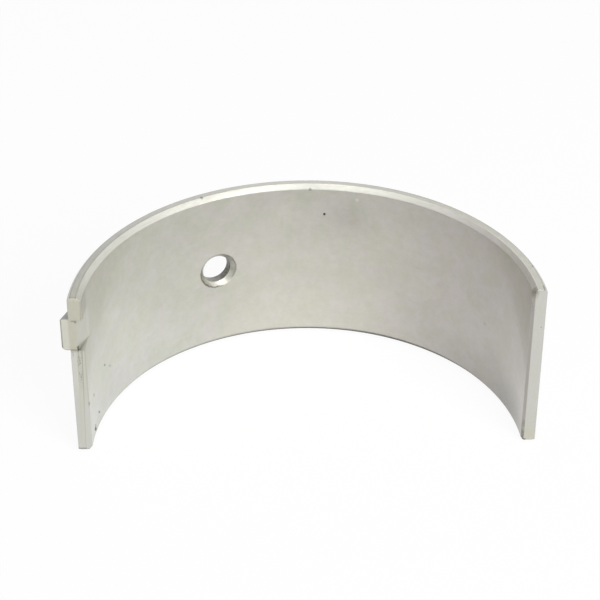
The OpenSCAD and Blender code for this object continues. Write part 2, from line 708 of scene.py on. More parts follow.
# Dark pits and short scratches on the running surface
PITS = (
    Pit(6.75, 24.2, 0.24, 0.28, 0.0, 1.0),
    Pit(-70.5, 9.88, 0.4, 0.24, 0.45, 0.5),
    Pit(-67.4, 8.47, 0.5, 0.3, 0.6, 0.25),
    Pit(-81.3, 1.6, 0.7, 0.42, 0.6, 1.0),
    Pit(-81.2, 2.15, 0.6, 0.5, 0.6, 0.4),
    Pit(-76.8, 3.05, 0.5, 0.28, 0.6, 0.62),
    Pit(-80.46, 8.13, 0.4, 0.4, 0.5, 0.45),
    Pit(-86.6, 9.2, 0.6, 0.4, 0.3, 0.4),
    Pit(59.9, 12.6, 0.4, 0.3, 0.0, 0.15),
    Pit(54.3, 14.9, 0.25, 0.9, 0.0, 0.05),
    Pit(-5.2, 22.2, 0.3, 1.3, 0.0, 0.06),
    Pit(34.7, 16.7, 0.65, 0.06, 0.0, 0.25),
    Pit(32.6, 9.7, 0.5, 0.06, 0.0, 0.15),
    Pit(8.0, 20.0, 0.8, 0.06, 0.0, 0.1),
    Pit(14.0, 17.6, 0.6, 0.06, 0.0, 0.1),
    Pit(-40.0, 8.0, 0.75, 0.06, 0.0, 0.1),
    Pit(26.7, 26.1, 0.5, 0.06, 0.0, 0.125),
    Pit(31.7, 24.1, 0.4, 0.06, 0.0, 0.125),
)

# Bright speck on the running surface
SPARK = Pit(15.9, 27.5, 0.36, 0.36, 0.0, 0.18)

# Faint rosy stains on the running surface, with their reach round the turn as a length
STAINS = (
    Patch(15.4, 23.5, 1.0, 1.2, 1.0),
    Patch(17.9, 17.2, 1.2, 0.9, 0.6),
    Patch(20.8, 23.7, 0.6, 0.9, 0.5),
    Patch(44.7, 25.4, 1.0, 0.9, 0.5),
    Patch(42.5, 15.1, 1.0, 0.9, 0.5),
)
STAIN_EDGE = (1.2, 0.3)

# Broad patches of painted light and shade in the plating, lighter or darker as the light falls, with their
# reach round the turn as an angle
PAINTED_LIGHT_PATCHES = (
    Patch(4.0, 0.0, 45.0, 17.0, 0.16),
    Patch(0.0, 29.7, 60.0, 14.0, -0.15),
    Patch(-34.0, 20.0, 26.0, 14.0, -0.05),
    Patch(66.0, 0.0, 30.0, 10.0, -0.19),
    Patch(74.0, 2.0, 12.0, 7.0, -0.16),
    Patch(24.0, 9.0, 14.0, 9.0, 0.05),
    Patch(-52.0, 6.0, 18.0, 18.0, 0.04),
    Patch(-84.0, 8.0, 20.0, 14.0, 0.05),
    Patch(-64.0, 8.0, 22.0, 16.0, 0.05),
    Patch(13.0, 23.5, 11.0, 5.5, -0.1),
    Patch(-5.0, 24.5, 7.0, 5.0, 0.07),
    Patch(-27.5, 11.0, 8.0, 4.0, -0.07),
    Patch(36.5, 13.0, 9.0, 4.5, 0.06),
    Patch(65.0, 7.5, 9.0, 5.0, -0.07),
    Patch(82.0, 3.0, 8.0, 5.0, -0.09),
    Patch(-66.0, 17.5, 9.0, 5.0, 0.06),
)

# Changes round the turn, all painted light and shade: tones of the rim, its inner line, its chamfer and the
# highlight on the ridge between them
RIM_LIGHT_AND_SHADE = (Change(24.0, 12.0, 0.08, -3.0), Change(58.0, 68.0, 0.04), Change(-28.0, -70.0, -0.155))
INNER_LINE_SHADE = (Change(-5.0, -30.0, -0.12),)
RIM_CHAMFER_LIGHT_AND_SHADE = (
    Change(26.0, 12.0, -0.27, -13.0),
    Change(38.0, 75.0, -0.34),
    Change(-74.0, -86.0, -0.17),
    Change(9.0, 3.0, 0.05, 65.0),
    Change(8.0, 3.0, -0.09, 6.0),
    Change(12.0, 2.0, 0.07, 25.0),
)
RIDGE_HIGHLIGHT = (Change(48.0, 60.0, 0.22),)

# Changes round the turn: worn colour of the rim, then painted shade at the head above the lug, painted shade
# in a band along the foot, dirt under the rim, and painted shade on the lower chamfer
WARM_RIM = (Change(22.0, 38.0, 0.25), Change(-76.0, -84.0, 0.4))
WARM_CHAMFER = (Change(45.0, 25.0, 0.25),)
HEAD_SHADE = (Change(-80.0, -83.0, 0.2),)
FOOT_BAND_SHADE = (Change(75.0, 50.0, 0.25, 0.0), Change(28.0, 10.0, 0.4, 34.0))
RIM_DIRT = (Change(32.0, 18.0, 0.14, 45.0),)
FOOT_CHAMFER_SHADE = (Change(-70.0, 40.0, 0.25),)

# Spans of angles and heights, from the value where a mask is nothing to the one where it is full
CROWN_TURN = (-60.0, -5.0)
PLAIN_TURN = (5.0, 50.0)
LOW_TURN = (-10.0, -60.0)
LOW_HEIGHTS = (14.0, 2.0)
BRIGHT_TURN = (60.0, 30.0)
FOOT_TURN = (-86.5, -80.0)
OUTER_HEIGHTS = (8.0, 15.0)
WORN_HEIGHTS = (8.0, 16.0)
SEAM_HEIGHTS = (4.0, 17.0)
INNER_SEAM_HEIGHTS = (6.0, 10.0)
LUG_SIDE_HEIGHTS = (20.0, 23.0)

# Spans of noise values where warm clouds, warm patches, rubs of the back and broken dirt show
WARM_TINT = (0.65, 0.35)
WARM_PATCHES = (0.45, 0.62)
BACK_RUBS = (0.55, 0.75)
BROKEN_DIRT = (0.35, 0.6)

# Middle value of a noise, and how far a spot of size 1 reaches with its full and its last trace
NOISE_MIDDLE = 0.5
SPOT_FULL = 0.6
SPOT_END = 1.2
SPOT_RAGGED = 0.5

# How softly masks end, and how deep the finish of each face reaches
SOFT = 0.03
LINE_SOFT = 0.05
HAIR = 0.02
SKIN = 0.12
SKIN_SOFT = 0.06
RIM_SKIN = 0.05
PARTING_SKIN = 0.04
LUG_SKIN = 0.1
BORE_SKIN = 0.04
SINK_DEPTH = 1.0
SINK_SOFT = 0.1
HOLE_MARGIN = 0.5
LUG_TOP_HALF = 0.04
LUG_TOP_START = 0.05
RECESS_START = 0.15
CUT_MIDDLE = 0.27
HEAD_CUT_HALF = 0.25
HEAD_CUT_DEPTH = 0.4
LEFT_CUT_HALF = 0.23

# Ledge under the recess: half height, where it starts and stops across the wall, and the span of its shade
LEDGE_HALF = 0.05
LEDGE_START = 0.1
LEDGE_STOP = 0.3
LEDGE_SHADE = (0.75, 0.1)

# Plain tones of the faces; a painted highlight on the rim chamfer, and painted shade on the right parting
# chamfer, on the left chamfer above the lug and in the countersink
RIM_CHAMFER_HIGHLIGHT = 0.15
PARTING_TONE = 0.08
LEFT_TONE = 0.025
# Painted shade on the right parting chamfer, which faces away from the light
RIGHT_CHAMFER_SHADE = -0.18
# Painted shade on the left parting chamfer above the lug
HEAD_CHAMFER_SHADE = -0.06
LUG_FRONT_TONE = 0.02
LUG_TOP_TONE = -0.35
RECESS_TONE = -0.05
# Painted shade that dulls the countersink
SINK_SHADE = -0.05
BACK_RUB_TONE = 0.07

# Lines on the rim: painted shade at its outer edge and along its inner edge, and the ridge above the chamfer,
# which carries a painted highlight
OUTER_LINE = 0.12
OUTER_LINE_SHADE = -0.2
INNER_LINE = 0.14
INNER_LINE_HALF = 0.1
RIDGE_HALF = 0.07
RIDGE_DEPTH = 0.12

# Left parting face, by distance from the middle plane and height: an edge or a middle, width, softness
OUTER_RUB = (36.45, 0.2)
OUTER_RUB_TONE = 0.07
STRIP_EDGE = (36.25, 0.1)
STRIP_TONE = -0.05
PALE_LINE = (36.4, 0.12)
PALE_TONE = 0.08
PALE_HEIGHTS = (15.7, 3.4, 1.0)
WORN_STRIP = (36.5, 0.25)
WORN_STRIP_FOOT = (1.4, 0.3)
# Head of the left parting face above the lug: the span of its upper edge, its tone, and the painted highlight
# on that edge
HEAD_EDGE = (-0.5, 0.2)
HEAD_TONE = -0.05
HEAD_EDGE_HIGHLIGHT = 0.08
LUG_LIGHT = (37.3, 0.2)
LUG_LIGHT_TONE = 0.175

# Upper edge of the right parting face: half height, depth and painted shade that dulls the highlight on its
# edge
UPPER_EDGE_HALF = 0.08
UPPER_EDGE_DEPTH = 0.12
UPPER_EDGE_SHADE = -0.22

# Shares of the worn colour on the lug, the left strip, the right face, the rim and the left chamfer
WORN_LUG = 0.5
WORN_STRIP_SHARE = 0.5
WORN_FOOT = (3.5, 1.5)
WORN_FOOT_SHARE = 0.7
WORN_PATCHES = 0.3
WORN_RIM = 0.15
WORN_CHAMFER = 0.5

# Darkening of the running surface: painted shade in a band above the lower chamfer, and the dirt line under
# the upper one
FOOT_BAND_EDGE = (0.2, 0.14)
RIM_DIRT_EDGE = (-0.16, 0.08)

# Darkening of the left parting face: dirt in its seams and rough strip, painted shadow along its foot, dirt
# at its head, then painted shadow at the step and a nick under the lug
SEAM_HALF = 0.06
SEAM_DIRT = 0.15
SEAM_MORE = 0.3
HEAD_SEAM = (0.02, 0.07)
HEAD_SEAM_DIRT = 0.35
INNER_SEAM = (0.16, 0.05)
INNER_SEAM_DIRT = 0.16
ROUGH_STRIP = (0.4, 0.35, 0.1)
ROUGH_HEIGHTS = (16.3, 3.2, 1.0)
ROUGH_DIRT = 0.7
FOOT_LINE = (0.2, 0.12)
FOOT_LINE_SHADOW = 0.5
HEAD_SCUFF_DIRT = 0.12
STEP = (-0.08, 0.1)
STEP_SHADOW = 0.22
OUTER_NICK = (36.82, 0.08)
OUTER_NICK_HEIGHTS = (-0.5, 0.45, 0.15)
OUTER_NICK_DIRT = 0.3

# Darkening of the lug: painted shade on its outer side, dirt and painted shadow at its foot, painted shade in
# the line at its head with a dirt spot, dirt and painted shade in the corner of the recess, and painted shade
# on the ledge
LUG_SIDE = (-0.2, 0.12)
LUG_SIDE_SHADE = 0.75
LUG_SIDE_SHADE_LESS = 0.25
LUG_FOOT = (0.15, 0.12)
LUG_FOOT_DIRT_AND_SHADOW = 0.5
LUG_HEAD = (-0.45, 0.1)
LUG_HEAD_EDGE = (36.8, 0.15)
LUG_HEAD_SHADE = 0.4
LUG_SPOT_X = 36.1
LUG_SPOT_DROP = 0.5
LUG_SPOT_SIZE = 0.25
LUG_SPOT_DIRT = 0.5
RECESS_SPOT_REACH = 0.22
RECESS_SPOT_TALL = 0.45
RECESS_SPOT_RISE = 0.4
RECESS_SPOT_DEPTH = (0.3, 0.1)
RECESS_CORNER_DIRT_AND_SHADE = 0.7
LEDGE_PAINTED_SHADE = 0.62

# Dirt at the right end: its upper inner corner, a nick in its edge, marks on its chamfer and a dot
END_DEPTH = (1.2, 0.2)
CORNER_X = 34.65
CORNER_DROP = 0.6
CORNER_REACH = (1.6, 0.4)
CORNER_DIRT = 0.42
EDGE_NICK_X = 36.65
EDGE_NICK_SIZE = 0.2
EDGE_NICK_RAGGED = 1.0
EDGE_NICK_DIRT = 0.4
NICK_HEIGHTS = (26.2, 1.0, 0.6)
NICK_DIRT = 0.6
CHIP_HEIGHTS = ((3.7, 0.7, 0.2), (1.6, 0.8, 0.2))
CHIP_DIRT = (0.3, 0.5)
DOT_X = 36.6
DOT_Z = 22.7
DOT_SIZE = 0.14
DOT_DIRT = 0.4

# Dirt on the rim: a line at its left end, and nicks given by angle, distance from the back, size and strength
RIM_END = (0.25, 0.15, 0.12)
RIM_END_DIRT = 0.3
LEFT_RIM_NICK = (-27.8, 1.45, 0.28, 0.6)
RIGHT_RIM_NICK = (76.8, 0.45, 0.25, 0.5)
RIM_NICK_DEPTH = (-0.4, 0.1)
CHAMFER_NICK_TURN = 2.7
CHAMFER_NICK_FLAT = 1.2
CHAMFER_NICK_SIZE = 0.3
CHAMFER_NICK_DIRT = 0.45

# Round the oil hole, each side with its lean in height, its span across and its strength: a burr line, partly
# a real burr and partly painted shade, painted shade in the countersink, and painted shade in the bore
BURR_LINE = (0.09, 0.12)
LOW_LEFT = (0.8, -0.5, -2.6)
LOW_LEFT_BURR_AND_SHADE = 0.65
RIGHT_SIDE = (0.3, 1.5, 3.0)
RIGHT_BURR_AND_SHADE = 0.4
TOP_LEAN = 0.3
TOP_SIDE = (2.4, 3.1)
TOP_BURR_AND_SHADE = 0.3
SHADED_SIDE = (0.7, 0.6, 2.8)
SINK_SIDE_SHADE = 0.25
SINK_LOW_LEFT_SHADE = 0.28
BORE_PAINTED_SHADE = 0.5
BORE_SHADE = (-1.5, 2.0)
BORE_SIDE_SHADE = 0.28
HOLE_CLEARANCE = 10.0

# Whole shader: painted shade on the lower chamfer, roughness, and the depth and strength of the relief
LOWER_CHAMFER_SHADE = 0.5
DIRT_ROUGHNESS = 0.2
LOWER_CHAMFER_ROUGHNESS = 0.3
DIRT_RELIEF = 2.0
RELIEF_STRENGTH = 0.06
RELIEF_DEPTH = 0.02 * MM


class ShellFinish(Finish):
    """Satin metal of the shell. Its lengths are in millimetres, and its angles turn right from the crown."""

    def __init__(self, tree, form, looks):
        super().__init__(tree)
        s = form.sizes
        self.looks = looks
        self.run_r = s.run_radius / MM
        self.back_r = s.back_radius / MM
        self.width = s.width / MM
        self.rim = s.rim_chamfer / MM
        self.back_rim = s.back_chamfer / MM
        self.chamfer = s.parting_chamfer / MM
        self.foot = s.foot_chamfer / MM
        self.left_head = s.left_head / MM
        self.left_foot = s.left_foot / MM
        self.parting_y = s.parting_y / MM
        self.hole_r = s.hole_radius / MM
        self.sink_r = (s.hole_radius + s.sink_width) / MM
        self.hole_turn = form.hole_angle
        self.hole_z = form.hole_z / MM
        self.run_x = form.run_x / MM
        self.lug_top = form.lug_top / MM
        self.lug_bottom = form.lug_bottom / MM
        self.lug_front = form.lug_front / MM
        self.lug_run = s.lug_run / MM
        self.lug_x = form.lug_x / MM
        self.back_x = self.lug_x - s.lug_reach / MM
        self.recess_x = form.recess_x / MM
        self.floor_slope = (form.recess_x - form.run_x) / (form.run_out - form.lug_front)
        self.places()
        self.noises()
        self.zones()

    def above(self, value, edge, soft=SOFT):
        """1 above an edge and 0 below it."""
        return self.rise(value, edge - soft, edge + soft)

    def below(self, value, edge, soft=SOFT):
        """1 below an edge and 0 above it."""
        return self.rise(value, edge + soft, edge - soft)

    def line(self, value, at, half, soft=LINE_SOFT):
        """1 within a short distance of a value."""
        return self.below(abs(value - at), half, soft)

    def either(self, *masks):
        """The strongest of several masks."""
        strongest = masks[0]
        for mask in masks[1:]:
            strongest = self.maths("MAXIMUM", strongest, mask)
        return strongest

    def gap(self, across, up):
        """Distance from the zero of two lengths."""
        return (across * across + up * up) ** 0.5

    def spot(self, across, up, size=1.0, ragged=SPOT_RAGGED):
        """1 inside a small ragged spot that lies round the zero of two lengths."""
        edge = self.swings({"grain": size * ragged})
        return self.rise(self.gap(across, up) + edge, size * SPOT_END, size * SPOT_FULL)

    def pit(self, pit):
        """One spot on the running surface, with its strength."""
        along = self.along(pit.angle)
        up = self.z - pit.height + along * pit.lean
        return self.spot(along / pit.reach, up / pit.tall) * pit.amount

    def along(self, angle):
        """Length round the running surface from a point at an angle."""
        return self.arc - math.radians(angle) * self.run_r

    def around(self, changes):
        """Sum of changes round the turn."""
        parts = []
        for change in changes:
            angle = self.angle if change.middle is None else abs(self.angle - change.middle)
            parts.append(self.rise(angle, change.nothing, change.full) * change.amount)
        return reduce(operator.add, parts)

    def swings(self, amounts):
        """Sum of noises that swing to both sides of 0, each by its amount."""
        parts = [(self.fields[name] - NOISE_MIDDLE) * amount for name, amount in amounts.items()]
        return reduce(operator.add, parts)

    def ragged(self, name, breaker, amount, start, full):
        """Ragged marks where a noise, broken up by another, is high."""
        return self.rise(self.fields[name] + self.swings({breaker: amount}), start, full)

    def places(self):
        """Where a point lies: straight lengths, distance from the axis, turn, and the way to the hole."""
        place = self.add("ShaderNodeTexCoord", output="Object")
        place = self.add("ShaderNodeVectorMath", {"operation": "SCALE"}, {0: place, "Scale": 1 / MM})
        self.x = self.add("ShaderNodeSeparateXYZ", None, {0: place}, "X")
        self.y = self.x.sibling("Y")
        self.z = self.x.sibling("Z")
        self.left = 0 - self.x
        self.radius = self.gap(self.x, self.y)
        self.angle = self.maths("ARCTAN2", self.x, self.y) * math.degrees(1)
        self.arc = self.angle * (math.radians(1) * self.run_r)
        self.hole_across = self.x * math.sin(self.hole_turn) - self.y * math.cos(self.hole_turn)
        self.hole_up = self.z - self.hole_z
        self.hole_gap = self.gap(self.hole_across, self.hole_up)

    def noises(self):
        """Noises that vary the tone: over the unrolled shell, and the streaks along straight lengths."""
        unrolled = (self.arc, self.z, self.radius)
        self.fields = {name: self.field(field, unrolled) for name, field in FIELDS.items()}
        self.fields["streaks"] = self.field(STREAKS, (self.x, self.y, self.z))

    def field(self, field, lengths):
        """One noise over three lengths."""
        first, second, third = lengths
        stretched = {0: first * field.first, 1: second * field.second, 2: third * field.third}
        return self.noise(self.add("ShaderNodeCombineXYZ", None, stretched), field.detail, field.roughness)

    def zones(self):
        """Which face of the shell a point lies on."""
        self.at_left = self.above(self.left, 0.0)
        self.at_right = 1 - self.at_left
        self.on_run = self.below(self.radius, self.run_r + SKIN, SKIN_SOFT)
        in_rim_cut = self.below(self.radius, self.run_r + self.rim)
        self.on_rim_chamfer = self.above(self.z, self.width - self.rim) * in_rim_cut
        self.on_foot_chamfer = self.below(self.z, self.rim - HAIR) * in_rim_cut
        self.on_foot_chamfer = self.on_foot_chamfer * self.rise(self.angle, *FOOT_TURN)
        self.on_rim = self.above(self.z, self.width - RIM_SKIN) * (1 - in_rim_cut)
        from_foot = self.y + self.z - (self.parting_y + self.foot)
        self.on_parting = self.below(self.maths("MINIMUM", self.y - self.parting_y, from_foot), PARTING_SKIN)
        self.on_chamfer = self.below(self.y, self.parting_y + self.chamfer) * (1 - self.on_parting)
        self.on_chamfer = self.on_chamfer * self.below(abs(self.x), self.run_x + self.chamfer)
        narrowing = (self.left_head - self.left_foot) / self.width
        self.from_seam = self.left - (self.z * narrowing + (self.run_x + self.left_foot))
        self.in_sink = self.below(self.hole_gap, self.sink_r + HAIR)
        self.in_sink = self.in_sink * self.below(self.radius, self.run_r + SINK_DEPTH, SINK_SOFT)
        self.in_bore = self.below(self.hole_gap, self.hole_r + BORE_SKIN)
        corner_gap = self.gap(self.x - CORNER_X, self.z - (self.width - CORNER_DROP))
        self.at_end = self.below(self.y - self.parting_y, *END_DEPTH)
        self.in_corner = self.rise(corner_gap, *CORNER_REACH) * self.at_end
        self.lug_zones()

    def lug_zones(self):
        """Faces of the lug and its recess, and the chamfers above and below it."""
        self.over_lug = self.above(self.z, self.lug_top)
        self.under_lug = self.below(self.z, self.lug_bottom)
        beside_lug = (1 - self.over_lug) * (1 - self.under_lug)
        at_lug = self.at_left * self.below(self.y, self.lug_front + self.lug_run)
        self.on_lug_front = beside_lug * self.below(self.y, self.lug_front + LUG_SKIN)
        self.on_lug_front = self.on_lug_front * self.above(self.left, self.recess_x - HAIR)
        self.on_back = self.above(self.radius, self.back_r - SKIN, SKIN_SOFT) * (1 - self.on_lug_front)
        cut_y = self.parting_y + CUT_MIDDLE
        head = self.at_left * self.over_lug * (1 - self.on_rim_chamfer)
        head = head * self.below(self.radius, self.run_r + HEAD_CUT_DEPTH)
        self.on_head_chamfer = head * self.line(self.y, cut_y, HEAD_CUT_HALF)
        left = self.at_left * self.under_lug * self.below(self.left, self.run_x + self.left_foot)
        self.on_left_chamfer = left * self.line(self.y, cut_y, LEFT_CUT_HALF)
        self.on_lug_top = self.line(self.z, self.lug_top, LUG_TOP_HALF)
        self.on_lug_top = self.on_lug_top * self.above(self.left, self.back_x + LUG_TOP_START)
        self.in_recess = at_lug * beside_lug * self.above(self.radius, self.run_r + RECESS_START)
        self.in_recess = self.in_recess * self.below(self.left, self.recess_x - HAIR)
        from_floor = self.recess_x - self.left - (self.y - self.lug_front) * self.floor_slope
        ledge = self.line(self.z, self.lug_bottom, LEDGE_HALF) * self.rise(from_floor, *LEDGE_SHADE)
        ledge = ledge * self.above(self.radius, self.run_r + LEDGE_START)
        self.on_ledge = at_lug * ledge * self.below(self.radius, self.back_r - LEDGE_STOP)

    def tone(self):
        """How much lighter or darker the metal is than its plain colour, face by face, much of it painted
        light and shade.
        """
        plating = self.swings(PLATING_SWINGS)
        # Painted light and shade: broad lighter and darker patches on the running surface
        for light_patch in PAINTED_LIGHT_PATCHES:
            gap = self.gap((self.angle - light_patch.angle) / light_patch.reach, (self.z - light_patch.height) / light_patch.tall)
            plating = self.rise(gap, 1.0, 0.0) * light_patch.amount + plating
        tone = 1 + (plating + self.pit(SPARK)) * self.on_run
        # Rim and its chamfer: random scuffs, painted light and shade round the turn, painted shade on the
        # outer and inner lines, and a painted highlight on the chamfer
        rubbed = self.swings(RIM_SWINGS)
        outer = self.above(self.radius, self.back_r - self.back_rim - OUTER_LINE) * OUTER_LINE_SHADE
        inner = self.line(self.radius, self.run_r + self.rim + INNER_LINE, INNER_LINE_HALF)
        inner = inner * self.around(INNER_LINE_SHADE)
        tone = tone + self.on_rim * (rubbed + self.around(RIM_LIGHT_AND_SHADE) + outer + inner)
        tone = tone + self.on_rim_chamfer * (self.around(RIM_CHAMFER_LIGHT_AND_SHADE) + RIM_CHAMFER_HIGHLIGHT + rubbed)
        # Painted highlight on the ridge between the rim and its chamfer
        ridge = self.line(self.radius, self.run_r + self.rim, RIDGE_HALF)
        ridge = ridge * self.above(self.z, self.width - RIDGE_DEPTH)
        tone = tone + ridge * self.around(RIDGE_HIGHLIGHT) + self.on_parting * self.parting_tone()
        # Painted shade on the upper edge of the right parting face and on its chamfer
        upper_edge = self.line(self.z, self.width, UPPER_EDGE_HALF) * self.at_right
        upper_edge = upper_edge * self.below(self.y, self.parting_y + UPPER_EDGE_DEPTH)
        tone = tone + upper_edge * UPPER_EDGE_SHADE + self.on_chamfer * self.at_right * RIGHT_CHAMFER_SHADE
        # Painted shade on the left chamfer above the lug
        tone = tone + self.on_head_chamfer * HEAD_CHAMFER_SHADE
        light = self.above(self.left, *LUG_LIGHT) * LUG_LIGHT_TONE + LUG_FRONT_TONE
        tone = tone + self.on_lug_front * (light + self.swings(LUG_SWINGS))
        back_rubs = self.rise(self.fields["rubs"], *BACK_RUBS) * BACK_RUB_TONE
        tone = tone + self.on_back * (self.swings(BACK_SWINGS) + back_rubs)
        # Painted shade in the countersink, with random tone
        tone = tone + self.in_sink * (SINK_SHADE - self.swings(SINK_SWINGS))
        return tone + self.on_lug_top * LUG_TOP_TONE + self.in_recess * RECESS_TONE

    def parting_tone(self):
        """Tone of the parting faces, with the rubbed strips of the left one."""
        outer = self.above(self.left, *OUTER_RUB) * self.rise(self.z, *OUTER_HEIGHTS) * OUTER_RUB_TONE
        strip = self.above(self.from_seam, 0.0) * self.below(self.left, *STRIP_EDGE) * STRIP_TONE
        pale = (self.line(self.left, *PALE_LINE) * PALE_TONE + strip) * self.line(self.z, *PALE_HEIGHTS)
        under = self.under_lug * (outer + pale + LEFT_TONE)
        # Painted highlight along the upper edge of the left parting face above the lug
        head = self.above(self.z - self.width, *HEAD_EDGE) * HEAD_EDGE_HIGHLIGHT + HEAD_TONE
        left = self.at_left * (under + self.over_lug * head)
        return left + PARTING_TONE + self.swings(PARTING_SWINGS)

    def metal(self):
        """Colour of the plating and the cut steel, with their tones; the plating colours by side are painted
        light and shade.
        """
        looks = self.looks
        # Plating colours blended by turn and height paint light and shade: lighter at the lug side and low,
        # darker at the plain end
        metal = self.blend(self.rise(self.angle, *CROWN_TURN), looks.plating_lit_lug_side, looks.plating_middle)
        metal = self.blend(self.rise(self.angle, *PLAIN_TURN), metal, looks.plating_shaded_plain_side)
        low = self.rise(self.z, *LOW_HEIGHTS) * self.rise(self.angle, *LOW_TURN)
        metal = self.blend(low, metal, looks.plating_lit_low)
        tint = self.fields["tint"]
        metal = self.tinted(self.rise(tint, *WARM_TINT), metal, looks.warm_tint)
        metal = self.tinted(self.stains(), metal, looks.stain_tint)
        bright = self.on_rim_chamfer * self.rise(self.angle, *BRIGHT_TURN)
        cut = self.either(self.on_rim, self.on_parting, bright, self.on_lug_front)
        metal = self.blend(cut, metal, looks.steel)
        left = self.on_parting * self.at_left
        right = self.on_parting * self.at_right
        lug = self.on_lug_front * (1 - self.above(self.left, *LUG_LIGHT) * WORN_LUG)
        strip = left * self.above(self.from_seam, 0.0) * self.below(self.left, *WORN_STRIP)
        strip = strip * self.above(self.z, *WORN_STRIP_FOOT) * WORN_STRIP_SHARE
        foot = right * self.below(self.z, *WORN_FOOT) * WORN_FOOT_SHARE
        patches = right * self.rise(tint, *WARM_PATCHES) * WORN_PATCHES
        rim = self.on_rim * (self.around(WARM_RIM) + WORN_RIM)
        rim = self.either(rim, self.on_rim_chamfer * self.around(WARM_CHAMFER))
        chamfer = self.on_left_chamfer * self.rise(self.z, *WORN_HEIGHTS) * WORN_CHAMFER
        worn = self.either(left * self.over_lug, lug, strip, foot, patches, rim, chamfer)
        worn = self.either(worn, self.on_head_chamfer, self.in_corner)
        metal = self.blend(worn, metal, looks.worn_steel)
        metal = self.blend(self.on_back, metal, looks.back)
        return self.scaled(metal, self.tone())

    def tinted(self, share_of_tint, metal, tint):
        """A colour that takes on a tint, as far as a mask says."""
        tinted = self.add("ShaderNodeVectorMath", {"operation": "MULTIPLY"}, {0: metal, 1: tint})
        return self.blend(share_of_tint, metal, tinted)

    def stains(self):
        """Share of the rosy stains on the running surface."""
        stains = 0.0
        for stain in STAINS:
            gap = self.gap(self.along(stain.angle) / stain.reach, (self.z - stain.height) / stain.tall)
            stains = self.rise(gap + self.swings(STAIN_SWINGS), *STAIN_EDGE) * stain.amount + stains
        return stains * self.on_run

    def marks(self):
        """Share of darkening on the running surface: dark pits, painted shade at the head and in a band along
        the foot, and a dirt line at the rim.
        """
        marks = self.around(HEAD_SHADE) * self.over_lug
        for pit in PITS:
            marks = self.pit(pit) + marks
        # Painted shade in a band just above the lower chamfer
        foot_band_shade = self.around(FOOT_BAND_SHADE) * self.below(self.z - self.rim, *FOOT_BAND_EDGE)
        rim_line = self.around(RIM_DIRT) * self.above(self.z - (self.width - self.rim), *RIM_DIRT_EDGE)
        rim_line = rim_line * self.rise(self.fields["scuffs"], *BROKEN_DIRT)
        return (marks + foot_band_shade + rim_line) * self.on_run

    def left_dirt_and_shadow(self):
        """Share of dirt on the left parting face and its chamfer, with painted shadow along its foot and
        under the lug.
        """
        more = self.rise(self.z, *SEAM_HEIGHTS) * SEAM_MORE
        seam = self.line(self.from_seam, 0.0, SEAM_HALF) * self.under_lug * (more + SEAM_DIRT)
        rough = self.ragged(*ROUGH_SEAM) * self.line(self.from_seam, *ROUGH_STRIP)
        rough = rough * self.line(self.z, *ROUGH_HEIGHTS) * ROUGH_DIRT
        # Painted shadow along the foot of the left parting face
        foot = self.below(self.z - self.foot, *FOOT_LINE) * FOOT_LINE_SHADOW
        head = self.line(self.from_seam, *HEAD_SEAM) * HEAD_SEAM_DIRT
        head = head + self.ragged(*HEAD_SCUFFS) * HEAD_SCUFF_DIRT
        # Painted shadow at the step under the lug
        step_shadow = self.line(self.z - self.lug_bottom, *STEP) * STEP_SHADOW
        nick = self.line(self.z - self.lug_bottom, *OUTER_NICK_HEIGHTS)
        nick = nick * self.line(self.left, *OUTER_NICK) * OUTER_NICK_DIRT
        darkening = (seam + rough + foot + head * self.over_lug + step_shadow + nick) * self.on_parting * self.at_left
        inner = self.below(self.left - self.run_x, *INNER_SEAM) * self.rise(self.z, *INNER_SEAM_HEIGHTS)
        return darkening + self.on_left_chamfer * (inner * INNER_SEAM_DIRT + step_shadow)

    def lug_dirt_and_shade(self):
        """Share of painted shade and dirt on the lug and in its recess."""
        # Painted shade on the outer side of the lug front, less higher up, with dirt and painted shadow at
        # its foot
        less = self.rise(self.z, *LUG_SIDE_HEIGHTS) * LUG_SIDE_SHADE_LESS
        side = self.above(self.left - self.lug_x, *LUG_SIDE) * (LUG_SIDE_SHADE - less)
        side = self.either(side, self.below(self.z - self.lug_bottom, *LUG_FOOT) * LUG_FOOT_DIRT_AND_SHADOW)
        # Painted shade under the step at the head of the lug front, with a dirt spot
        head = self.above(self.z - self.lug_top, *LUG_HEAD) * LUG_HEAD_SHADE
        head = head * self.below(self.left, *LUG_HEAD_EDGE)
        spot = self.spot(self.left - LUG_SPOT_X, self.z - (self.lug_top - LUG_SPOT_DROP), LUG_SPOT_SIZE)
        head = self.either(head, spot * LUG_SPOT_DIRT)
        # Dirt and painted shade in the lower corner of the recess
        up = (self.z - (self.lug_bottom + RECESS_SPOT_RISE)) / RECESS_SPOT_TALL
        corner = self.spot((self.left - self.recess_x) / RECESS_SPOT_REACH, up) * RECESS_CORNER_DIRT_AND_SHADE
        corner = corner * self.at_left * self.below(self.y - self.lug_front, *RECESS_SPOT_DEPTH)
        # Painted shade on the ledge under the recess
        ledge = self.on_ledge * self.above(self.y, self.lug_front + HAIR) * LEDGE_PAINTED_SHADE
        return (side + head) * self.on_lug_front + ledge + corner

    def right_dirt(self):
        """Share of dirt at the right end: its corner, edge, chamfer and parting face."""
        edge = self.spot(self.x - EDGE_NICK_X, self.z - self.width, EDGE_NICK_SIZE, EDGE_NICK_RAGGED)
        nicks = self.ragged(*NICKS) * self.line(self.z, *NICK_HEIGHTS) * NICK_DIRT
        chips = 0.0
        for heights, amount in zip(CHIP_HEIGHTS, CHIP_DIRT):
            chips = self.line(self.z, *heights) * amount + chips
        chips = chips * self.ragged(*CHIPS)
        dot = self.spot(self.x - DOT_X, self.z - DOT_Z, DOT_SIZE) * self.on_parting * DOT_DIRT
        darkening = ((nicks + chips) * self.on_chamfer + dot) * self.at_right
        return darkening + edge * self.at_end * EDGE_NICK_DIRT + self.in_corner * CORNER_DIRT

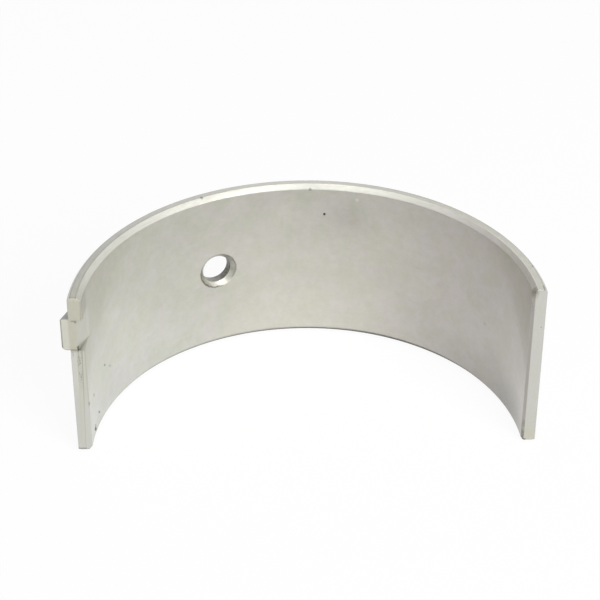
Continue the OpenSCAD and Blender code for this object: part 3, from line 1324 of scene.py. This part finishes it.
    def rim_dirt(self):
        """Share of dirt on the upper rim: a line at its left end, and nicks in it and in its chamfer."""
        end = self.line(self.y - self.parting_y, *RIM_END) * RIM_END_DIRT
        end = end * self.on_rim * self.at_left * self.above(self.left, self.run_x + self.rim)
        left = self.rim_nick(*LEFT_RIM_NICK) * self.above(self.z - self.width, *RIM_NICK_DEPTH)
        right = self.rim_nick(*RIGHT_RIM_NICK) * self.on_rim
        up = (self.z - (self.width - self.rim)) * CHAMFER_NICK_FLAT
        chamfer = self.spot(self.along(CHAMFER_NICK_TURN), up, CHAMFER_NICK_SIZE) * CHAMFER_NICK_DIRT
        return end + left + right + chamfer * (1 - self.on_back)

    def rim_nick(self, angle, inset, size, strength):
        """Nick in the rim at an angle and a distance from the back."""
        return self.spot(self.along(angle), self.radius - (self.back_r - inset), size) * strength

    def hole_side(self, lean, start, full):
        """1 to one side of the oil hole, along a line that leans in height, with a ragged border."""
        across = self.hole_across + self.hole_up * lean
        return self.rise(across + self.swings(HOLE_SWINGS), start, full)

    def hole_burr_and_shade(self):
        """Share of darkening at the oil hole: painted shade in the bore and the countersink, and a burr round
        the countersink that is partly painted shade.
        """
        ragged = self.swings(BURR_SWINGS)
        # Burr line round the countersink, stronger on some sides as painted shade
        burr = self.line(self.hole_gap + ragged, self.sink_r, *BURR_LINE)
        burr = burr * self.below(self.radius, self.run_r + SINK_DEPTH)
        low_left = self.hole_side(*LOW_LEFT)
        top = self.rise(self.hole_up - self.hole_across * TOP_LEAN, *TOP_SIDE) * TOP_BURR_AND_SHADE
        burr = burr * (low_left * LOW_LEFT_BURR_AND_SHADE + self.hole_side(*RIGHT_SIDE) * RIGHT_BURR_AND_SHADE + top)
        # Painted shade in the countersink on its shaded side and at its lower left
        lean, start, full = SHADED_SIDE
        shaded = self.rise(self.hole_across + self.hole_up * lean, start, full) * SINK_SIDE_SHADE
        inner = self.rise(self.hole_gap + ragged, self.hole_r, self.sink_r) * low_left * SINK_LOW_LEFT_SHADE
        # Painted shade in the bore, darker to one side
        bore = self.rise(self.hole_across, *BORE_SHADE) * BORE_SIDE_SHADE + BORE_PAINTED_SHADE
        bore = bore + self.swings(BORE_SWINGS)
        return burr + self.in_sink * (shaded + inner) + self.in_bore * bore

    def surface(self):
        """The shader, with its colour, roughness and relief."""
        looks = self.looks
        clear = 1 - self.at_left * self.below(self.y, HOLE_CLEARANCE)
        near_hole = self.below(self.hole_gap, self.sink_r + HOLE_MARGIN) * clear
        # Painted shade on the lower chamfer, which faces the shadowed floor
        foot = self.on_foot_chamfer * (self.around(FOOT_CHAMFER_SHADE) + LOWER_CHAMFER_SHADE)
        ends = self.left_dirt_and_shadow() + self.lug_dirt_and_shade() + self.right_dirt() + self.rim_dirt()
        # Darkening sums real dirt and painted shade and shadow; it also roughens the surface and sinks the
        # relief
        darkening = self.marks() + ends + self.hole_burr_and_shade() * near_hole + foot
        darkening = self.maths("MINIMUM", darkening, 1.0)
        roughness = self.swings(ROUGH_SWINGS) + darkening * DIRT_ROUGHNESS + looks.roughness
        roughness = roughness + self.on_back * self.swings(BACK_ROUGH_SWINGS)
        roughness = roughness + self.on_foot_chamfer * LOWER_CHAMFER_ROUGHNESS
        relief = 0 - darkening * DIRT_RELIEF
        for name, amount in RELIEF.items():
            relief = self.fields[name] * amount + relief
        bump = {"Strength": RELIEF_STRENGTH, "Distance": RELIEF_DEPTH, "Height": relief}
        return self.add(
            "ShaderNodeBsdfPrincipled",
            None,
            {
                "Base Color": self.blend(darkening, self.metal(), looks.grime_and_shade),
                "Metallic": (1 - self.on_foot_chamfer) * looks.metallic,
                "Roughness": roughness,
                "Normal": self.add("ShaderNodeBump", None, bump),
                "Coat Weight": (1 - self.on_foot_chamfer) * looks.film,
                "Coat Roughness": looks.film_roughness,
            },
        )


def shell_finish(form, looks):
    """Satin plated metal with cut steel edges, turned lines, pits and dirt, and painted light and shade:
    clouds of tone, highlights and shade round the rim and the ends, and shade round the lug and in the oil
    hole.
    """
    material = bpy.data.materials.new("shell_metal_finish")
    material.use_nodes = True
    finish = ShellFinish(material.node_tree, form, looks)
    finish.add("ShaderNodeOutputMaterial", None, {"Surface": finish.surface()})
    return material


class ShellOperator(bpy.types.Operator):
    """Build the bearing shell with its metal finish"""

    bl_idname = "object.bearing_shell_add"
    bl_label = "Bearing shell"
    bl_options = {"REGISTER", "UNDO"}

    def execute(self, context):
        form = ShellForm(context.scene.shell_sizes)
        shell = ShellMesh(form).finished("finished_shell")
        shell.data.materials.append(shell_finish(form, context.scene.shell_looks))
        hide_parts(NODE)
        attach(shell, "root")
        return {"FINISHED"}


# Camera at the photograph's viewing angle, in metres and degrees
IMAGE_WIDTH = 600
FOCAL_PIXELS = 1847.7
CAMERA_PLACE = Vector((-0.00998, -0.23632, 0.18616))
CAMERA_YAW = math.radians(2.101)
CAMERA_PITCH = math.radians(33.494)
CAMERA_ROLL = math.radians(0.078)
SENSOR_WIDTH = 36.0
CLIP_START = 0.01

# Floor and lamps, in metres: a wide round floor just under the shell, and square lamps that look at it
FLOOR_RADIUS = 4.0
FLOOR_SIDES = 96
FLOOR_DROP = 0.02 * MM
LAMP_SIZE = 0.4
LAMP_AIM = Vector((0, 0.015, 0.01))
OVERHEAD_PLACE = Vector((0.0, 0.0, 0.8))
FRONT_PLACE = Vector((0.0, -0.5, 0.65))
KEY_PLACE = Vector((0.4, -0.55, 0.5))
WHITE = (1.0, 1.0, 1.0, 1.0)


def camera_turn():
    """Turn of the camera as a matrix: right, up and backwards."""
    forward = Vector((
        math.sin(CAMERA_YAW) * math.cos(CAMERA_PITCH),
        math.cos(CAMERA_YAW) * math.cos(CAMERA_PITCH),
        -math.sin(CAMERA_PITCH),
    ))
    right = Vector((math.cos(CAMERA_YAW), -math.sin(CAMERA_YAW), 0))
    up = right.cross(forward)
    c, s = math.cos(CAMERA_ROLL), math.sin(CAMERA_ROLL)
    return Matrix((c * right + s * up, c * up - s * right, -forward)).transposed()


def lamp(name, place, watts):
    """Soft square lamp that looks at the shell."""
    data = bpy.data.lights.new(name, "AREA")
    data.shape = "SQUARE"
    data.size = LAMP_SIZE
    data.energy = watts
    holder = bpy.data.objects.new(name, data)
    bpy.context.scene.collection.objects.link(holder)
    holder.location = place
    holder.rotation_mode = "QUATERNION"
    holder.rotation_quaternion = (LAMP_AIM - place).to_track_quat("-Z", "Y")


class StageOperator(bpy.types.Operator):
    """Build the stage: floor, lamps, even light and camera"""

    bl_idname = "scene.bearing_stage_add"
    bl_label = "Stage"
    bl_options = {"REGISTER", "UNDO"}

    def execute(self, context):
        scene = context.scene
        looks = scene.stage_looks
        scene.view_settings.view_transform = "Standard"

        bm = bmesh.new()
        bmesh.ops.create_circle(bm, cap_ends=True, segments=FLOOR_SIDES, radius=FLOOR_RADIUS)
        mesh = bpy.data.meshes.new("floor")
        bm.to_mesh(mesh)
        bm.free()
        floor = bpy.data.objects.new("floor", mesh)
        floor.location.z = -FLOOR_DROP
        scene.collection.objects.link(floor)
        paper = bpy.data.materials.new("floor_paper")
        paper.use_nodes = True
        f = Finish(paper.node_tree)
        matt = f.add("ShaderNodeBsdfDiffuse", None, {"Color": rgba(looks.floor)})
        white = f.add("ShaderNodeEmission", None, {"Color": WHITE, "Strength": 1.0})
        seen = f.add("ShaderNodeMixShader", None, {0: f.shown() * looks.floor_white, 1: matt, 2: white})
        f.add("ShaderNodeOutputMaterial", None, {"Surface": seen})
        mesh.materials.append(paper)

        world = bpy.data.worlds.new("studio")
        scene.world = world
        world.use_nodes = True
        f = Finish(world.node_tree)
        strength = f.shown() * (1 - looks.sky) + looks.sky
        sky = f.add("ShaderNodeBackground", None, {"Color": WHITE, "Strength": strength})
        f.add("ShaderNodeOutputWorld", None, {"Surface": sky})

        lamp("overhead_lamp", OVERHEAD_PLACE, looks.overhead)
        lamp("front_lamp", FRONT_PLACE, looks.front)
        lamp("key_lamp", KEY_PLACE, looks.key)

        data = bpy.data.cameras.new("camera")
        data.sensor_width = SENSOR_WIDTH
        data.lens = FOCAL_PIXELS * data.sensor_width / IMAGE_WIDTH
        data.clip_start = CLIP_START
        camera = bpy.data.objects.new("camera", data)
        camera.matrix_world = Matrix.Translation(CAMERA_PLACE) @ camera_turn().to_4x4()
        scene.collection.objects.link(camera)
        scene.camera = camera
        return {"FINISHED"}


class ShellPanel(bpy.types.Panel):
    """Lists the steps that build the shell and its stage"""

    bl_idname = "VIEW3D_PT_bearing_shell"
    bl_label = "Bearing shell"
    bl_space_type = "VIEW_3D"
    bl_region_type = "UI"
    bl_category = "Bearing shell"

    def draw(self, context):
        for group in (context.scene.shell_sizes, context.scene.shell_looks, context.scene.stage_looks):
            for name in group.bl_rna.properties.keys():
                if name not in ("rna_type", "name"):
                    self.layout.prop(group, name)
        self.layout.operator(ShellOperator.bl_idname)
        self.layout.operator(StageOperator.bl_idname)


CLASSES = (ShellSizes, ShellLooks, StageLooks, ShellOperator, StageOperator, ShellPanel)


def register():
    for item in CLASSES:
        bpy.utils.register_class(item)
    bpy.types.Scene.shell_sizes = PointerProperty(type=ShellSizes)
    bpy.types.Scene.shell_looks = PointerProperty(type=ShellLooks)
    bpy.types.Scene.stage_looks = PointerProperty(type=StageLooks)


def unregister():
    del bpy.types.Scene.stage_looks
    del bpy.types.Scene.shell_looks
    del bpy.types.Scene.shell_sizes
    for item in reversed(CLASSES):
        bpy.utils.unregister_class(item)


def main():
    register()
    bpy.ops.object.bearing_shell_add()
    bpy.ops.scene.bearing_stage_add()


if __name__ == "__main__":
    main()
